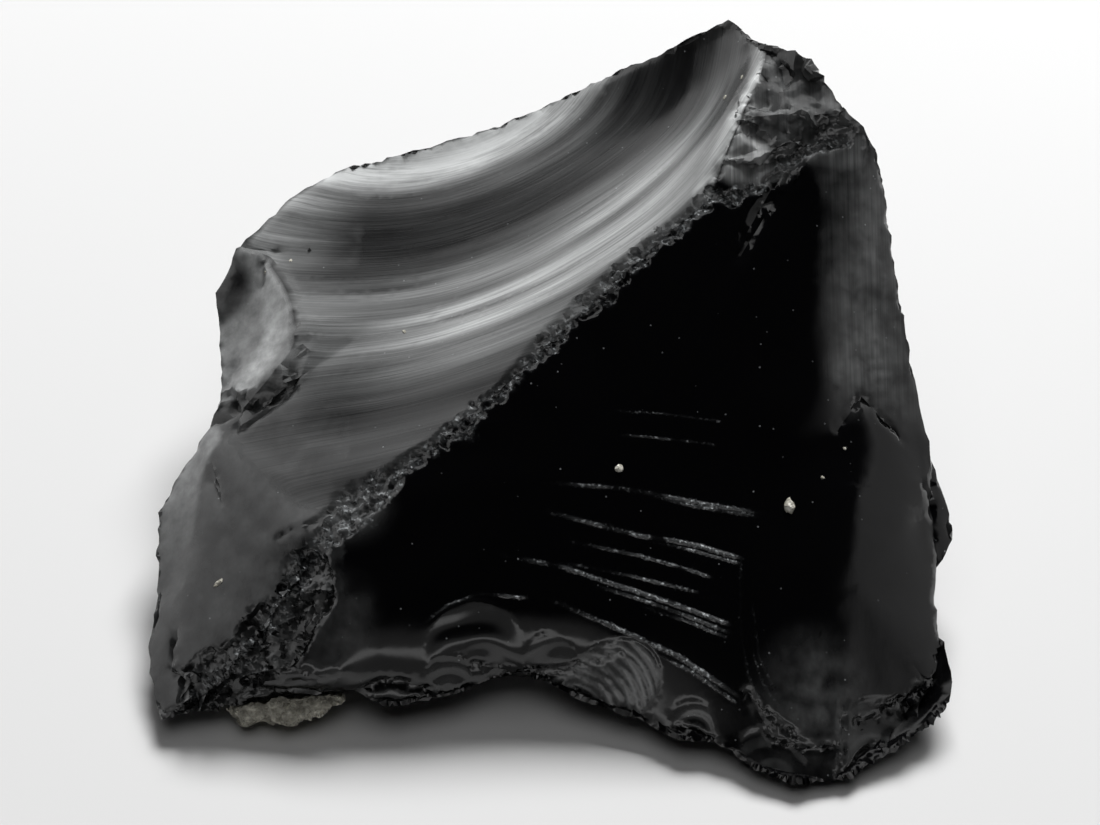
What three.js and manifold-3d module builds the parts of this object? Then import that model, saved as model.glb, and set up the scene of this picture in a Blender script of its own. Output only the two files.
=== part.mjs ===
// Obsidian chunk: one broken lump of black volcanic glass with a pale mineral crust on its underside.
//
// Millimetres, +Z up. The chunk lies on its flat broken base. The long crushed ridge runs from the low
// front-left tip (-X, -Y) up to the high back-right peak (+X, +Y). Left of it is the large hollow
// conchoidal scar, right of it the broad dark face.
//
// The glass is a shell of fracture scars. Each scar is a ring of named corners, filled from its middle by
// rings that follow a parabola, so that its rim stays sharp and its middle dips (a scar) or swells.

import * as THREE from 'three';
import Module from 'manifold-3d';

// ---------------------------------------------------------------- driving dimensions
const EDGE_STEP = 4.2;          // longest straight stretch of an edge between two points
const RING_STEP = 4.6;          // spacing of the rings that fill a scar
const EDGE_WANDER = 0.35;       // how far an edge wanders off the straight line, as broken glass does
const CRUST_GAP = 0.4;          // clearance between crust and glass along the contact
const CORE = [0, 4, 16];        // a point well inside the glass, from which every scar is seen from behind

// ---------------------------------------------------------------- corners of the glass
const CORNERS = {
  // the long crushed ridge, from the front-left tip to the ledge under the peak
  ridge: [
    [-55.5, -41, 3], [-49, -39, 7.5], [-44, -35.5, 10.5], [-39, -29.5, 14.5], [-34, -23, 18],
    [-28, -17.5, 23], [-17.5, -10, 26.5], [-6.5, -1.5, 31.5], [1.5, 6, 35], [10.5, 13.5, 39.5],
    [19.5, 21, 43], [24, 25, 45.5],
  ],
  // the left foot of the peak, between the hollow and the peak's own scars
  ledge: [[26, 29.5, 48], [29, 36.5, 51], [32, 43, 53]],
  // the top of the peak, from its highest point round to the right shoulder
  crown: [[37.5, 47.5, 55], [41.5, 42.5, 54], [44.5, 35.5, 52.5], [48, 33.5, 50]],
  // the upper border of the dark face, from the right shoulder back to the ridge
  brow: [[44.5, 32.5, 49.5], [40, 32, 49], [36.5, 30, 47.5], [32, 26.5, 46], [27, 24.5, 45]],
  // the step between the two lower scars of the peak
  shelf: [[36, 32, 49.8], [30, 28.5, 48.6]],
  // the small beak behind the peak
  beak: [[33.5, 52, 52.5], [31, 55, 51.5], [30, 59.5, 51], [28, 61.5, 50.5]],
  // the thin back edge of the hollow, from the beak down to the left
  back: [
    [17.5, 58.5, 46], [8, 56, 43], [1.5, 53.5, 41], [-8, 50.5, 38], [-19, 48.5, 35], [-32, 48.5, 31.5],
    [-36.5, 46.5, 30], [-42, 43, 28.5], [-45.5, 39.5, 27], [-49, 35.5, 26],
  ],
  // the outer and inner borders of the small scar that bites into the left side
  biteOuter: [[-52.5, 28.5, 22], [-52, 24, 21], [-51, 18.5, 20], [-50.5, 13.5, 19.5], [-50.5, 8, 18.5]],
  biteInner: [[-45, 33.5, 26], [-41, 25.5, 26.5], [-39, 18.5, 26], [-39, 12, 25.5], [-42.5, 8, 23.5]],
  // the foot of the dark step under the bite
  step: [[-40, 6, 22.2], [-45, 3.5, 20], [-48, 0, 18]],
  // the soft crease between the hollow and the lower-left scar
  crease: [[-43, -7, 19], [-38, -13, 19.5], [-32.5, -17.5, 20.8]],
  // the left rim: its inner break and its thin outer edge
  leftInner: [[-51, -0.5, 17], [-50.5, -6, 16], [-51, -10.5, 14.8], [-52.5, -19, 12], [-54, -27.5, 9],
    [-54.5, -34.5, 6.8]],
  leftRim: [[-52, 5, 16], [-53.5, 3, 14.5], [-56, -1, 12.5], [-59, -6.5, 10], [-59, -12.5, 8.5],
    [-58, -20, 7], [-58.5, -28, 5], [-58.5, -32, 4], [-57, -36.5, 3.5]],
  // the upper and lower borders of the steep heel under the front-left tip
  heel: [[-43.5, -37, 9], [-37, -37, 10], [-32, -38.5, 9]],
  lip: [[-50, -40, 3], [-45, -39, 3.5], [-37, -38, 4.5], [-31, -37.8, 5.2]],
  // where the dark face rolls over to the front left
  rollOuter: [[-33, -28, 15.5], [-35, -34, 12]],
  rollInner: [[-27.5, -25.5, 18.2], [-28, -34.5, 13]],
  // the upper border of the flaked front scars
  front: [[-28, -37, 11], [-17, -36, 11.5], [-10.5, -36.5, 11], [-4.5, -35, 11.7], [2, -35.5, 11.5],
    [10, -35.5, 11], [16.5, -38.5, 9], [23.5, -41, 7.5], [28, -40, 8]],
  // the thin front edge, from the lip to the front-right foot
  frontRim: [[-28, -38, 5.5], [-24.5, -40, 5], [-21.5, -40, 5], [-15, -38.5, 5.2], [-10, -36.5, 5.5],
    [-5, -35, 6], [-0.5, -36, 5.5], [3, -38, 5], [8, -40, 4.5], [12, -41, 4], [16.5, -44.5, 3],
    [22, -45, 3.5], [28, -48.5, 2.6], [32.5, -51, 2], [37.5, -51.5, 1.8]],
  // the right edge, from the front-right foot up to the right shoulder
  rightRim: [[41.5, -50.5, 1.8], [44, -49, 2.2], [47, -47.5, 2.7], [49.5, -45.5, 3.2], [52.5, -43.5, 3.6],
    [56.5, -40, 4.5], [58, -36.5, 6], [57, -29.5, 7.5], [56.5, -24, 9.5], [57.5, -19, 10.5],
    [60, -14, 11], [59.5, -10.5, 13], [58, -6, 16], [56.5, -2, 20], [55, 5, 25], [53, 13, 31.5],
    [52, 19, 35.5], [51, 25.5, 40.5], [50.5, 29.5, 43.5], [49.5, 32, 47]],
  // where the dark face rolls over to the right
  flank: [[39, 19, 41.3], [38.5, 5.5, 33.5], [38, -5, 27.5]],
  // the oval scar of the lower right: left border, top border, lower border
  ovalLeft: [[35.5, -12.5, 23.2], [31, -17.5, 20.5], [28.5, -21, 18.8], [27.5, -24, 17], [27, -33.5, 11.7]],
  ovalTop: [[41, -8, 25.2], [44, -5.5, 26], [47, -3.5, 25.5], [50, -3, 24.3], [52.5, -5, 21.5],
    [55, -8.5, 18], [55.5, -11, 16], [56, -15.5, 13.2]],
  ovalLow: [[31, -43.5, 6.2], [35, -45.5, 5.2], [38, -47.8, 4.2], [41, -47, 4.6]],
  cusp: [[42.5, -44, 5.6], [45.5, -42, 6.2], [50.5, -39.8, 6.2], [54.5, -37.5, 6.4]],
  // a ring of corners low on the hidden sides
  waist: [[-49, -10, 4.5], [-46, 14, 8], [-40, 34, 11], [-16, 46, 13], [12, 52, 17], [32, 47, 20],
    [46, 32, 15], [50, 6, 9]],
  // the flat broken base
  base: [[-36, -16, 0], [-22, -27, 0], [8, -31, 0], [27, -39, 0], [38, -45, 0], [47, -36, 0],
    [46, -16, 0], [42, 12, 0], [26, 32, 0], [-8, 34, 0], [-34, 20, 0], [-40, 2, 0]],
};

// ---------------------------------------------------------------- the scars
// rim: corners in order round the scar. dish: how far its middle swells (+) or dips (-), in mm.
const SCARS = [
  // the large hollow and the scars of the left side
  { dish: -1.8, rim: [run('ridge', 5, 11), run('ledge', 0, 2), run('beak', 0, 3), run('back', 0, 9),
    run('biteInner', 0, 4), run('step', 0, 2), run('crease', 0, 2)] },
  { dish: -1.6, rim: [run('back', 9, 9), run('biteOuter', 0, 4), run('biteInner', 4, 0)] },
  { dish: -0.4, rim: [run('biteInner', 4, 4), run('biteOuter', 4, 4), run('leftRim', 0, 0),
    run('leftInner', 0, 0), run('step', 2, 0)] },
  { dish: 0.8, rim: [run('ridge', 5, 1), run('leftInner', 5, 0), run('step', 2, 2), run('crease', 0, 2)] },
  { dish: -0.3, rim: [run('leftInner', 0, 2), run('leftRim', 3, 0)] },
  { dish: -0.4, rim: [run('leftInner', 2, 4), run('leftRim', 6, 3)] },
  { dish: -0.3, rim: [run('leftInner', 4, 5), run('ridge', 1, 0), run('leftRim', 8, 6)] },
  // the crushed shoulder, the heel and the roll to the front left
  { dish: -0.6, rim: [run('ridge', 1, 4), run('rollOuter', 0, 1), run('heel', 1, 0)] },
  { dish: -0.5, rim: [run('ridge', 1, 1), run('heel', 0, 2), run('frontRim', 0, 0), run('lip', 3, 0),
    run('ridge', 0, 0)] },
  { dish: 0.5, rim: [run('ridge', 4, 5), run('rollInner', 0, 1), run('front', 0, 0), run('heel', 2, 1),
    run('rollOuter', 1, 0)] },
  // the broad dark face
  { dish: 0.7, rim: [run('ridge', 5, 11), run('brow', 4, 2), run('brow', 1, 1), run('flank', 0, 2),
    run('ovalLeft', 0, 4), run('front', 8, 0), run('rollInner', 1, 0)] },
  // the right side
  { dish: 0.5, rim: [run('crown', 3, 3), run('rightRim', 19, 15), run('flank', 1, 0), run('brow', 1, 0)] },
  { dish: 0.3, rim: [run('rightRim', 15, 13), run('ovalTop', 4, 0), run('ovalLeft', 0, 0),
    run('flank', 2, 1)] },
  { dish: -0.2, rim: [run('ovalTop', 4, 7), run('rightRim', 9, 13)] },
  { dish: 2.6, rim: [run('ovalLeft', 0, 4), run('front', 8, 8), run('ovalLow', 0, 3), run('cusp', 0, 3),
    run('rightRim', 7, 9), run('ovalTop', 7, 0)] },
  { dish: -0.8, rim: [run('cusp', 0, 3), run('rightRim', 7, 0), run('ovalLow', 3, 3)] },
  { dish: -0.6, rim: [run('front', 7, 8), run('ovalLow', 0, 3), run('rightRim', 0, 0),
    run('frontRim', 14, 11)] },
  // the flaked scars of the front edge
  { dish: -0.7, rim: [run('front', 0, 1), run('frontRim', 3, 0), run('heel', 2, 2)] },
  { dish: -0.8, rim: [run('front', 1, 3), run('frontRim', 5, 3)] },
  { dish: -0.8, rim: [run('front', 3, 5), run('frontRim', 8, 5)] },
  { dish: -0.8, rim: [run('front', 5, 7), run('frontRim', 11, 8)] },
  // the peak
  { dish: -0.9, rim: [run('ledge', 1, 2), run('beak', 0, 0), run('crown', 0, 2)] },
  { dish: -0.7, rim: [run('ledge', 0, 1), run('crown', 2, 3), run('brow', 0, 1), run('shelf', 0, 1)] },
  { dish: -0.3, rim: [run('ridge', 11, 11), run('ledge', 0, 0), run('shelf', 1, 0), run('brow', 1, 4)] },
  // the hidden upper sides, from the beak round to the right and back to it
  { dish: -1.2, rim: [run('beak', 0, 3), run('back', 0, 1), run('waist', 4, 5)] },
  { dish: -1.4, rim: [run('crown', 0, 3), run('rightRim', 19, 18), run('waist', 6, 5), run('beak', 0, 0)] },
  { dish: -1.2, rim: [run('rightRim', 18, 15), run('waist', 7, 6)] },
  { dish: -0.8, rim: [run('rightRim', 15, 10), run('waist', 7, 7)] },
  { dish: -1.8, rim: [run('back', 1, 4), run('waist', 3, 4)] },
  { dish: -1.2, rim: [run('back', 4, 7), run('waist', 2, 3)] },
  { dish: -0.6, rim: [run('back', 7, 9), run('biteOuter', 0, 0), run('waist', 2, 2)] },
  { dish: -1.0, rim: [run('biteOuter', 0, 4), run('leftRim', 0, 0), run('waist', 1, 2)] },
  { dish: -0.6, rim: [run('leftRim', 0, 3), run('waist', 0, 1)] },
  // the hidden lower sides and the underside
  { dish: -0.8, rim: [run('leftRim', 3, 8), run('ridge', 0, 0), run('lip', 0, 1), run('base', 1, 0),
    run('waist', 0, 0)] },
  { dish: -0.5, rim: [run('waist', 0, 1), run('base', 11, 11), run('base', 0, 0)] },
  { dish: -0.6, rim: [run('waist', 1, 2), run('base', 10, 11)] },
  { dish: -0.8, rim: [run('waist', 2, 3), run('base', 9, 10)] },
  { dish: -1.0, rim: [run('waist', 3, 5), run('base', 8, 9)] },
  { dish: -0.8, rim: [run('waist', 5, 7), run('base', 7, 8)] },
  { dish: -0.6, rim: [run('waist', 7, 7), run('rightRim', 10, 7), run('base', 6, 7)] },
  { dish: -0.5, rim: [run('rightRim', 7, 2), run('base', 5, 6)] },
  { dish: -0.2, rim: [run('rightRim', 2, 0), run('frontRim', 14, 11), run('base', 2, 5)] },
  { dish: -0.5, rim: [run('frontRim', 11, 5), run('base', 2, 2)] },
  { dish: -0.6, rim: [run('frontRim', 5, 0), run('lip', 3, 1), run('base', 1, 2)] },
  { dish: 0, rim: [run('base', 0, 11)] },
];

// ---------------------------------------------------------------- the crust
// Rounded lumps of pale mineral, each [centre x, y, z, half length x, half depth y, half height z].
const CRUST_LUMPS = [
  [-42.5, -38.8, 2.6, 3.6, 2.6, 1.6],
  [-38.5, -38.6, 2.9, 4.0, 3.0, 1.9],
  [-34.2, -38.0, 3.5, 3.6, 2.8, 1.7],
  [-31.4, -37.6, 4.2, 2.4, 2.2, 1.4],
];
const CRUST_ROUGHNESS = 0.12;   // how far the crust's skin leaves a plain ellipsoid, as a share of its size

// ---------------------------------------------------------------- helpers
/** Names of the corners of one group, from one index to another, in either direction. */
function run(group, from, to) {
  const names = [];
  const turn = to >= from ? 1 : -1;
  for (let i = from; i !== to + turn; i += turn) names.push(`${group}.${i}`);
  return names;
}

/** Repeatable value from -1 to 1 for a number. */
function hash(seed) {
  const value = Math.sin(seed * 12.9898) * 43758.5453;
  return 2 * (value - Math.floor(value)) - 1;
}

/** Place of a named corner. */
function corner(name) {
  const [group, index] = name.split('.');
  return new THREE.Vector3(...CORNERS[group][Number(index)]);
}

/** Points after corner a up to corner b, the same set whichever scar asks for the edge. */
function edgePoints(a, b) {
  const [first, last] = a < b ? [a, b] : [b, a];
  const start = corner(first);
  const end = corner(last);
  const pieces = Math.max(1, Math.ceil(start.distanceTo(end) / EDGE_STEP));
  const points = [];
  for (let i = 0; i <= pieces; i++) {
    const point = start.clone().lerp(end, i / pieces);
    const onBase = point.z < 1.2;
    if (i > 0 && i < pieces && !onBase) {
      const seed = point.x * 3.1 + point.y * 7.7 + point.z * 13.3;
      point.x += EDGE_WANDER * hash(seed);
      point.y += EDGE_WANDER * hash(seed + 1);
      point.z += EDGE_WANDER * hash(seed + 2);
    }
    points.push(point);
  }
  return a === first ? points.slice(1) : points.reverse().slice(1);
}

/** Area normal of a ring of points. */
function ringNormal(ring) {
  const normal = new THREE.Vector3();
  ring.forEach((point, i) => {
    const next = ring[(i + 1) % ring.length];
    normal.x += (point.y - next.y) * (point.z + next.z);
    normal.y += (point.z - next.z) * (point.x + next.x);
    normal.z += (point.x - next.x) * (point.y + next.y);
  });
  return normal.normalize();
}

/** Middle of a ring of points, each weighed by the length of edge beside it. */
function ringMiddle(ring) {
  const middle = new THREE.Vector3();
  let total = 0;
  ring.forEach((point, i) => {
    const next = ring[(i + 1) % ring.length];
    const length = point.distanceTo(next);
    middle.addScaledVector(point.clone().add(next), length / 2);
    total += length;
  });
  return middle.divideScalar(total);
}

/** Triangles of one scar: rings from its middle to its rim, on a parabola across the rim's plane. */
function scarTriangles({ rim, dish }) {
  const names = rim.flat();
  let ring = names.flatMap((name, i) => edgePoints(name, names[(i + 1) % names.length]));
  let normal = ringNormal(ring);
  const middle = ringMiddle(ring);
  const outward = middle.clone().sub(new THREE.Vector3(...CORE));
  if (normal.dot(outward) < 0) {
    ring = ring.reverse();
    normal = normal.negate();
  }
  const reach = ring.reduce((sum, point) => sum + point.distanceTo(middle), 0) / ring.length;
  const count = dish === 0 ? 1 : Math.max(1, Math.round(reach / RING_STEP));
  const place = (point, share) => {
    const offset = point.clone().sub(middle);
    const height = offset.dot(normal);
    offset.addScaledVector(normal, -height);
    return middle.clone().addScaledVector(offset, share)
      .addScaledVector(normal, height * share * share + dish * (1 - share * share));
  };
  const triangles = [];
  for (let k = 1; k <= count; k++) {
    const inner = (k - 1) / count;
    const outer = k / count;
    ring.forEach((point, i) => {
      const next = ring[(i + 1) % ring.length];
      const a = k === count ? point : place(point, outer);
      const b = k === count ? next : place(next, outer);
      if (k === 1) {
        triangles.push([place(point, 0), a, b]);
      } else {
        triangles.push([place(point, inner), a, b], [place(point, inner), b, place(next, inner)]);
      }
    });
  }
  return triangles;
}

/** Welded, indexed vertices and triangles of a triangle list. */
function weld(triangles) {
  const index = new Map();
  const vertices = [];
  const faces = [];
  triangles.forEach((triangle) => {
    const ids = triangle.map((point) => {
      const key = point.toArray().map((value) => Math.round(value * 1e4)).join(' ');
      if (!index.has(key)) {
        index.set(key, vertices.length / 3);
        vertices.push(point.x, point.y, point.z);
      }
      return index.get(key);
    });
    if (new Set(ids).size === 3) faces.push(...ids);
  });
  return { vertices, faces };
}

const manifold = await Module();
manifold.setup();
const { Manifold, Mesh } = manifold;

/** Solid of a welded triangle list. */
function solidOf({ vertices, faces }) {
  const vertProperties = new Float32Array(vertices);
  const triVerts = new Uint32Array(faces);
  const mesh = new Mesh({ numProp: 3, vertProperties, triVerts });
  mesh.merge();
  return new Manifold(mesh);
}

/** One rough, rounded lump of crust. */
function crustLump([x, y, z, halfX, halfY, halfZ], number) {
  return Manifold.sphere(1, 20).warp((point) => {
    const wave = Math.sin(point[0] * 5.1 + number) * Math.cos(point[1] * 4.3 - number)
      + 0.6 * Math.sin(point[2] * 7.9 + 2 * number + point[0] * 3.7);
    const grow = 1 + CRUST_ROUGHNESS * wave;
    point[0] = x + point[0] * halfX * grow;
    point[1] = y + point[1] * halfY * grow;
    point[2] = z + point[2] * halfZ * grow;
  });
}

/** Named three.js mesh of a solid, moved sideways to the middle of the footprint. */
function meshOf(name, solid, material, shift) {
  const { vertProperties, triVerts, numProp } = solid.getMesh();
  const positions = new Float32Array(triVerts.length * 3);
  triVerts.forEach((vertex, i) => {
    positions[3 * i] = vertProperties[vertex * numProp] + shift.x;
    positions[3 * i + 1] = vertProperties[vertex * numProp + 1] + shift.y;
    positions[3 * i + 2] = vertProperties[vertex * numProp + 2] + shift.z;
  });
  const geometry = new THREE.BufferGeometry();
  geometry.setAttribute('position', new THREE.BufferAttribute(positions, 3));
  geometry.computeVertexNormals();
  const mesh = new THREE.Mesh(geometry, material);
  mesh.name = name;
  return mesh;
}

// ---------------------------------------------------------------- the two pieces
const glassMesh = weld(SCARS.flatMap(scarTriangles));
const glass = solidOf(glassMesh);

const lumps = Manifold.union(CRUST_LUMPS.map(crustLump));
const contact = new THREE.Vector3(0, -0.75, -0.66).normalize().multiplyScalar(CRUST_GAP);
const crust = lumps.subtract(glass.add(glass.translate(contact.toArray())));

const box = new THREE.Box3().setFromArray(glassMesh.vertices);
const shift = new THREE.Vector3(-(box.min.x + box.max.x) / 2, -(box.min.y + box.max.y) / 2, -box.min.z);

const obsidian = new THREE.MeshStandardMaterial({ color: 0x0b0b0d, roughness: 0.12, metalness: 0 });
const mineral = new THREE.MeshStandardMaterial({ color: 0xb9b6a8, roughness: 0.9, metalness: 0 });

const part = new THREE.Group();
part.name = 'obsidian_chunk_part';
part.add(meshOf('obsidian_chunk', glass, obsidian, shift));
part.add(meshOf('pale_mineral_crust', crust, mineral, shift));

export default part;
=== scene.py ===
"""Raw obsidian chunk: black volcanic glass with a pale mineral crust, on a plain pale floor.

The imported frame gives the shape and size. This file turns the plain solids into broken glass: it
rounds the fracture scars, keeps the ridges sharp, and adds the ripples, hackles, crushed ridge and
flaked edges as real shape. Sizes are in millimetres until a mesh is handed back in metres.
"""

import logging
import math
from dataclasses import dataclass
from enum import Enum
from typing import Callable, Sequence

import bmesh
import bpy
import numpy as np
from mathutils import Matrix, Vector
from mathutils.bvhtree import BVHTree
from mathutils.kdtree import KDTree


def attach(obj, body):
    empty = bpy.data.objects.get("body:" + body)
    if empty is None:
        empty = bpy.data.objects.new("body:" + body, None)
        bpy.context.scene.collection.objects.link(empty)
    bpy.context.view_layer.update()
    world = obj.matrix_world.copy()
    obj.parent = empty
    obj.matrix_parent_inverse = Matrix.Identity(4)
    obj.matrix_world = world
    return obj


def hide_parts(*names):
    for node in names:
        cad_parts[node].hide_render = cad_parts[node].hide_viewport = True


LOG = logging.getLogger("obsidian")
MM = 0.001
MERGE_GAP = 0.01    # vertices of a plain solid nearer than this are one, in mm

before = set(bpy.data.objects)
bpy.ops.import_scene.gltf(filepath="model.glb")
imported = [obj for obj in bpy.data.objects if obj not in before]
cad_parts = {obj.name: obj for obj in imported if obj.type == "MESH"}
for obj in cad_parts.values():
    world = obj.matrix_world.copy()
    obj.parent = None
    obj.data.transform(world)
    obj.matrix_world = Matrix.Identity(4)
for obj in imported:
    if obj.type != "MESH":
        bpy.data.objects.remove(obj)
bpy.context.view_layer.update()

Line = Sequence[tuple[float, ...]]


# ------------------------------------------------------------------ small mathematics
def smooth_step(low: float, high: float, values: np.ndarray) -> np.ndarray:
    """Soft ramp.

    Args:
        low: Value at which the ramp leaves 0.
        high: Value at which it reaches 1. It may be below low, for a falling ramp.
        values: Numbers to ramp.

    Returns:
        The ramp at each value, from 0 to 1.
    """
    share = np.clip((values - low) / (high - low), 0.0, 1.0)
    return share * share * (3.0 - 2.0 * share)


def line_distance(points: np.ndarray, line: Line) -> tuple[np.ndarray, np.ndarray]:
    """Distance from points to a polyline.

    Args:
        points: Points, one per row, with at least as many columns as the line has.
        line: Corners of the polyline.

    Returns:
        The distance of each point, and how far along the polyline its nearest spot lies.
    """
    corners = np.array(line, dtype=float)
    spots = points[:, : corners.shape[1]]
    best = np.full(len(spots), 1e9)
    along = np.zeros(len(spots))
    walked = 0.0
    for start, end in zip(corners[:-1], corners[1:]):
        stretch = end - start
        length = float(np.linalg.norm(stretch))
        share = np.clip(((spots - start) @ stretch) / length**2, 0.0, 1.0)
        gap = np.linalg.norm(spots - start - share[:, None] * stretch, axis=1)
        nearer = gap < best
        best[nearer] = gap[nearer]
        along[nearer] = walked + share[nearer] * length
        walked += length
    return best, along


def inside(points: np.ndarray, outline: Line) -> np.ndarray:
    """Whether points lie inside a closed outline, seen from above.

    Args:
        points: Points, one per row.
        outline: Corners of the outline, of which only x and y count.

    Returns:
        True for each point that is inside.
    """
    x, y = points[:, 0], points[:, 1]
    found = np.zeros(len(points), dtype=bool)
    corners = [corner[:2] for corner in outline]
    for (ax, ay), (bx, by) in zip(corners, corners[1:] + corners[:1]):
        crosses = (ay > y) != (by > y)
        rise = by - ay if by != ay else 1e-9
        found ^= crosses & (x < (bx - ax) * (y - ay) / rise + ax)
    return found


@dataclass(frozen=True)
class Noise:
    """Repeatable smooth noise in space.

    Attributes:
        seed: Seed of the random lattice.
        size: Spacing of the lattice, in mm.
    """

    seed: int
    size: float

    def at(self, points: np.ndarray) -> np.ndarray:
        """Noise from -1 to 1 at each point, given in mm."""
        lattice = np.random.default_rng(self.seed).uniform(-1.0, 1.0, (24, 24, 24))
        scaled = points / self.size + 100.0
        cell = np.floor(scaled).astype(int)
        part = scaled - cell
        part = part * part * (3.0 - 2.0 * part)
        total = np.zeros(len(points))
        for step in np.ndindex(2, 2, 2):
            weight = np.prod(np.where(np.array(step) == 1, part, 1.0 - part), axis=1)
            spot = (cell + np.array(step)) % 24
            total += weight * lattice[spot[:, 0], spot[:, 1], spot[:, 2]]
        return total


def fractal(points: np.ndarray, seed: int, size: float, octaves: int) -> np.ndarray:
    """Noise with finer noise on it.

    Args:
        points: Points in mm.
        seed: Seed of the coarsest noise.
        size: Size of the coarsest noise, in mm.
        octaves: How many noises are added, each half the size and half the strength.

    Returns:
        The sum at each point, about -1 to 1.
    """
    total = np.zeros(len(points))
    for octave in range(octaves):
        total += Noise(seed + octave, size / 2**octave).at(points) / 2**octave
    return total


# ------------------------------------------------------------------ a mesh as plain arrays
class Skin:
    """Vertices, edges and triangles of a mesh as arrays, in mm.

    Attributes:
        points: Places of the vertices.
        edges: Pairs of vertices.
        rims: The pairs that lie on a sharp rim.
        triangles: Triples of vertices.
    """

    def __init__(self, mesh: bpy.types.Mesh) -> None:
        """Read a mesh of triangles.

        Args:
            mesh: Mesh in metres.
        """
        count = len(mesh.vertices)
        flat = np.empty(count * 3)
        mesh.vertices.foreach_get("co", flat)
        self.points: np.ndarray = flat.reshape(-1, 3) / MM
        pairs = np.empty(len(mesh.edges) * 2, dtype=np.int32)
        mesh.edges.foreach_get("vertices", pairs)
        self.edges: np.ndarray = pairs.reshape(-1, 2)
        flags = np.empty(len(mesh.edges), dtype=bool)
        mesh.edges.foreach_get("use_edge_sharp", flags)
        self.rims: np.ndarray = self.edges[flags]
        mesh.calc_loop_triangles()
        triples = np.empty(len(mesh.loop_triangles) * 3, dtype=np.int32)
        mesh.loop_triangles.foreach_get("vertices", triples)
        self.triangles: np.ndarray = triples.reshape(-1, 3)

    def normals(self) -> np.ndarray:
        """Unit normal at each vertex, from the areas of the triangles round it."""
        a, b, c = (self.points[self.triangles[:, i]] for i in range(3))
        areas = np.cross(b - a, c - a)
        total = np.zeros_like(self.points)
        for i in range(3):
            for axis in range(3):
                total[:, axis] += np.bincount(
                    self.triangles[:, i], weights=areas[:, axis], minlength=len(self.points)
                )
        return total / np.maximum(np.linalg.norm(total, axis=1), 1e-12)[:, None]

    def held(self) -> np.ndarray:
        """1 for each vertex on a sharp rim or on the flat base, else 0."""
        count = np.bincount(self.rims.ravel(), minlength=len(self.points))
        return np.where((count > 0) | (self.points[:, 2] < 0.03), 1.0, 0.0)

    def relax_rims(self, rounds: int) -> None:
        """Round the corners along the sharp rims, where no other rim branches off.

        Args:
            rounds: How many times to smooth.
        """
        a, b = self.rims[:, 0], self.rims[:, 1]
        count = len(self.points)
        degree = np.bincount(self.rims.ravel(), minlength=count)
        free = degree == 2
        for _ in range(rounds):
            for axis in range(3):
                total = np.bincount(a, weights=self.points[b, axis], minlength=count)
                total += np.bincount(b, weights=self.points[a, axis], minlength=count)
                self.points[free, axis] = (0.5 * self.points[:, axis] + 0.25 * total)[free]

    def neighbour_mean(self, values: np.ndarray) -> np.ndarray:
        """Mean of the neighbours' values at each vertex, one column at a time."""
        a, b = self.edges[:, 0], self.edges[:, 1]
        count = len(self.points)
        degree = np.bincount(a, minlength=count) + np.bincount(b, minlength=count)
        result = np.empty_like(values)
        for axis in range(values.shape[1]):
            total = np.bincount(a, weights=values[b, axis], minlength=count)
            total += np.bincount(b, weights=values[a, axis], minlength=count)
            result[:, axis] = total / np.maximum(degree, 1)
        return result

    def relax(self, rounds: int, free: np.ndarray, back: float = 0.52) -> None:
        """Smooth the vertices without shrinking the form.

        Args:
            rounds: How many times to smooth.
            free: Share of the move that each vertex may make, from 0 to 1.
            back: Strength of the return step that keeps the form's size.
        """
        for _ in range(rounds):
            for strength in (0.5, -back):
                if strength != 0.0:
                    move = self.neighbour_mean(self.points) - self.points
                    self.points = self.points + strength * free[:, None] * move

    def push(self, heights: np.ndarray) -> None:
        """Move each vertex along its own normal by a height in mm."""
        self.points = self.points + heights[:, None] * self.normals()

    def give_back(self, mesh: bpy.types.Mesh) -> None:
        """Write the vertices back into the mesh they came from, in metres."""
        mesh.vertices.foreach_set("co", (self.points * MM).ravel())
        mesh.update()


# ------------------------------------------------------------------ colours and shader nodes
def colour(code: str) -> tuple[float, float, float, float]:
    """Linear colour of an sRGB hex code such as #c8c4b8."""
    parts = [int(code[i : i + 2], 16) / 255.0 for i in (1, 3, 5)]
    linear = [p / 12.92 if p <= 0.04045 else ((p + 0.055) / 1.055) ** 2.4 for p in parts]
    return (linear[0], linear[1], linear[2], 1.0)


def add_node(
    tree: bpy.types.NodeTree,
    kind: str,
    settings: dict[str, object] | None = None,
    inputs: dict[str | int, object] | None = None,
) -> bpy.types.Node:
    """Add one shader node.

    Args:
        tree: Node tree to add to.
        kind: Blender's name for the node type.
        settings: Properties of the node.
        inputs: A constant, or an output socket to link, for each input by name or number.

    Returns:
        The new node.
    """
    node = tree.nodes.new(kind)
    for name, value in (settings or {}).items():
        setattr(node, name, value)
    for name, value in (inputs or {}).items():
        socket = node.inputs[name]
        if isinstance(value, bpy.types.NodeSocket):
            tree.links.new(value, socket)
        else:
            socket.default_value = value
    return node


def remap(
    tree: bpy.types.NodeTree,
    value: bpy.types.NodeSocket,
    before: tuple[float, float],
    after: tuple[float, float] = (0.0, 1.0),
    soft: bool = False,
) -> bpy.types.NodeSocket:
    """Map a value from one range to another, clamped at both ends.

    Args:
        tree: Node tree to add to.
        value: The value to map.
        before: The range it comes from.
        after: The range it goes to.
        soft: Whether it eases in and out.

    Returns:
        The mapped value.
    """
    inputs = {
        "Value": value,
        "From Min": before[0],
        "From Max": before[1],
        "To Min": after[0],
        "To Max": after[1],
    }
    kind = "SMOOTHSTEP" if soft else "LINEAR"
    return add_node(tree, "ShaderNodeMapRange", {"interpolation_type": kind}, inputs).outputs[0]


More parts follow.
